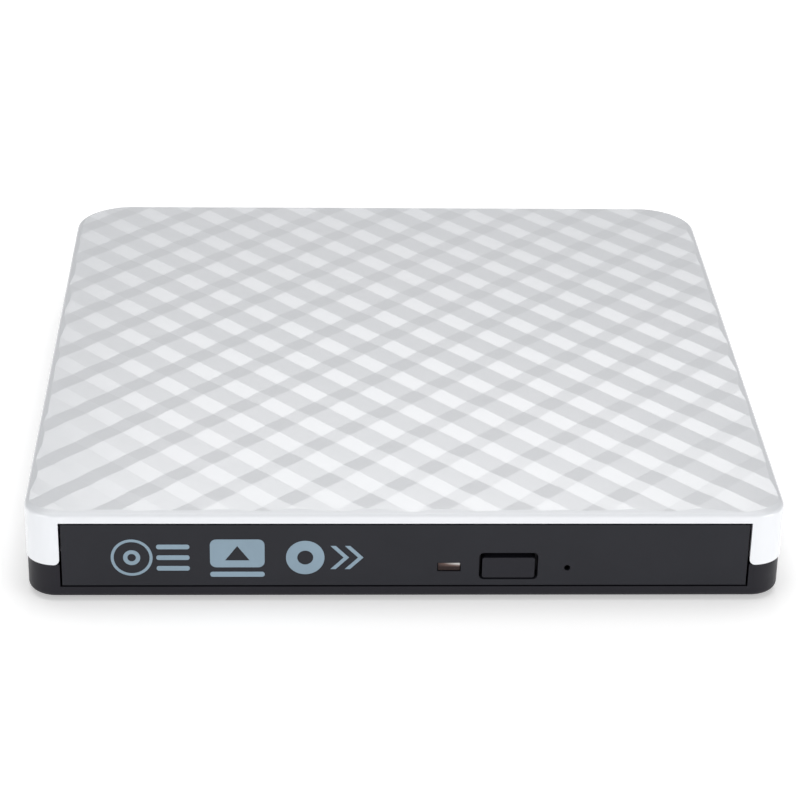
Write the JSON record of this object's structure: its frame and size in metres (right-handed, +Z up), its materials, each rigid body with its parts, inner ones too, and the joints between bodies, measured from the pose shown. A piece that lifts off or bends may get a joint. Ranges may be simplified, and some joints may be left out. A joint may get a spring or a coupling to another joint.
{
  "type": "external optical drive",
  "caption": "Slim external disc drive: white textured cover on a black case, with a spring-eject tray front, button, spindle and travelling laser pickup.",
  "frame": {"origin": "centre of the bounding box at the underside of the feet", "axes": "+Z up from the table, -Y towards the tray front, +X to the right as seen from the front"},
  "size_m": [0.1428, 0.1486, 0.0192],
  "materials": {
    "cover_white": "glossy, moulded relief",
    "case_black": "satin",
    "rubber": "matte",
    "steel": "bright",
    "sheet_metal": "plated sheet",
    "circuit_board": "solder mask",
    "black_component": "moulded",
    "pale_plastic": "moulded",
    "flat_cable": "film",
    "tray_black": "fine texture",
    "bezel_black": "fine texture",
    "button_black": "semi-gloss",
    "light_pipe": "clouded clear",
    "led": "clear",
    "dark_metal": "satin",
    "copper": "enamelled wire",
    "cast_alloy": "as cast",
    "gold_metal": "plated",
    "lens_glass": "coated"
  },
  "bodies": {
    "enclosure": {"top_cover": "cover_white", "bottom_case": "case_black", "rubber_feet": "rubber", "case_screws": "steel", "bridge_board": "circuit_board", "bridge_chips": "black_component", "usb_socket": "sheet_metal", "usb_tongue": "black_component", "sata_receptacle": "black_component", "sata_plug": "black_component", "drive_base": "sheet_metal", "drive_lid": "sheet_metal", "lid_screws": "steel", "channel_left": "pale_plastic", "channel_right": "pale_plastic", "main_board": "circuit_board", "main_board_chips": "black_component", "ffc_connector": "pale_plastic", "ffc_lower": "flat_cable", "striker_pin": "steel", "ejector_guide": "pale_plastic", "ejector_spring": "steel"},
    "slide_rails": {"rail_left": "steel", "rail_right": "steel", "ffc_bend": "flat_cable"},
    "tray": {"tray_frame": "tray_black", "bezel": "bezel_black", "light_pipe": "light_pipe", "status_led": "led", "deck_plate": "dark_metal", "mechanism_cover": "sheet_metal", "cover_screws": "steel", "traverse_frame": "dark_metal", "traverse_dampers": "rubber", "guide_rods": "steel", "motor_base": "sheet_metal", "motor_coils": "copper", "stepper_motor": "sheet_metal", "tray_board": "circuit_board", "eject_switch": "pale_plastic", "solenoid": "copper", "ffc_upper": "flat_cable", "ffc_lead": "flat_cable", "latch_pivot_pin": "steel"},
    "eject_button": {"eject_button": "button_black"},
    "spindle": {"rotor": "steel", "turntable": "black_component", "hub_claws": "pale_plastic", "turntable_pad": "rubber"},
    "pickup": {"pickup_body": "cast_alloy", "actuator_yoke": "cast_alloy", "laser_unit": "gold_metal"},
    "lens": {"lens_holder": "black_component", "objective_lens": "lens_glass"},
    "lead_screw": {"lead_screw": "steel"},
    "latch": {"latch_lever": "pale_plastic"},
    "plunger": {"plunger": "steel"},
    "ejector": {"ejector_rod": "pale_plastic"}
  },
  "joints": [
    {"name": "rail_slide", "type": "slide", "parent": "enclosure", "child": "slide_rails", "axis": [0, -1, 0], "range_m": [0, 0.064]},
    {"name": "tray_slide", "type": "slide", "parent": "slide_rails", "child": "tray", "axis": [0, -1, 0], "range_m": [0, 0.064], "deforming": ["ffc_lower", "ffc_upper", "ejector_spring"]},
    {"name": "button_press", "type": "slide", "parent": "tray", "child": "eject_button", "axis": [0, 1, 0], "range_m": [0, 0.0007], "stiffness_N_per_m": 600},
    {"name": "spindle_turn", "type": "hinge", "parent": "tray", "child": "spindle", "pos_m": [0, -0.008, 0.0083], "axis": [0, 0, 1], "continuous": true},
    {"name": "pickup_slide", "type": "slide", "parent": "tray", "child": "pickup", "axis": [-0.7071, -0.7071, 0], "range_m": [0, 0.033]},
    {"name": "lens_focus", "type": "slide", "parent": "pickup", "child": "lens", "axis": [0, 0, 1], "range_m": [-0.0003, 0.0004], "stiffness_N_per_m": 40},
    {"name": "lead_screw_turn", "type": "hinge", "parent": "tray", "child": "lead_screw", "pos_m": [0.00078, -0.03763, 0.0081], "axis": [-0.7071, -0.7071, 0], "continuous": true},
    {"name": "latch_turn", "type": "hinge", "parent": "tray", "child": "latch", "pos_m": [0.05, -0.05, 0.0083], "axis": [0, 0, -1], "range_deg": [0, 12]},
    {"name": "plunger_slide", "type": "slide", "parent": "tray", "child": "plunger", "axis": [0, 1, 0], "range_m": [0, 0.00168], "stiffness_N_per_m": 60},
    {"name": "ejector_push", "type": "slide", "parent": "enclosure", "child": "ejector", "axis": [0, -1, 0], "range_m": [0, 0.0065]}
  ],
  "couplings": [
    {"joint": "rail_slide", "follows": "tray_slide", "ratio": 1},
    {"joint": "ejector_push", "follows": "tray_slide", "ratio": 0.1},
    {"joint": "lead_screw_turn", "follows": "pickup_slide", "rad_per_m": 2094.4},
    {"joint": "latch_turn", "follows": "plunger_slide", "rad_per_m": 125}
  ]
}
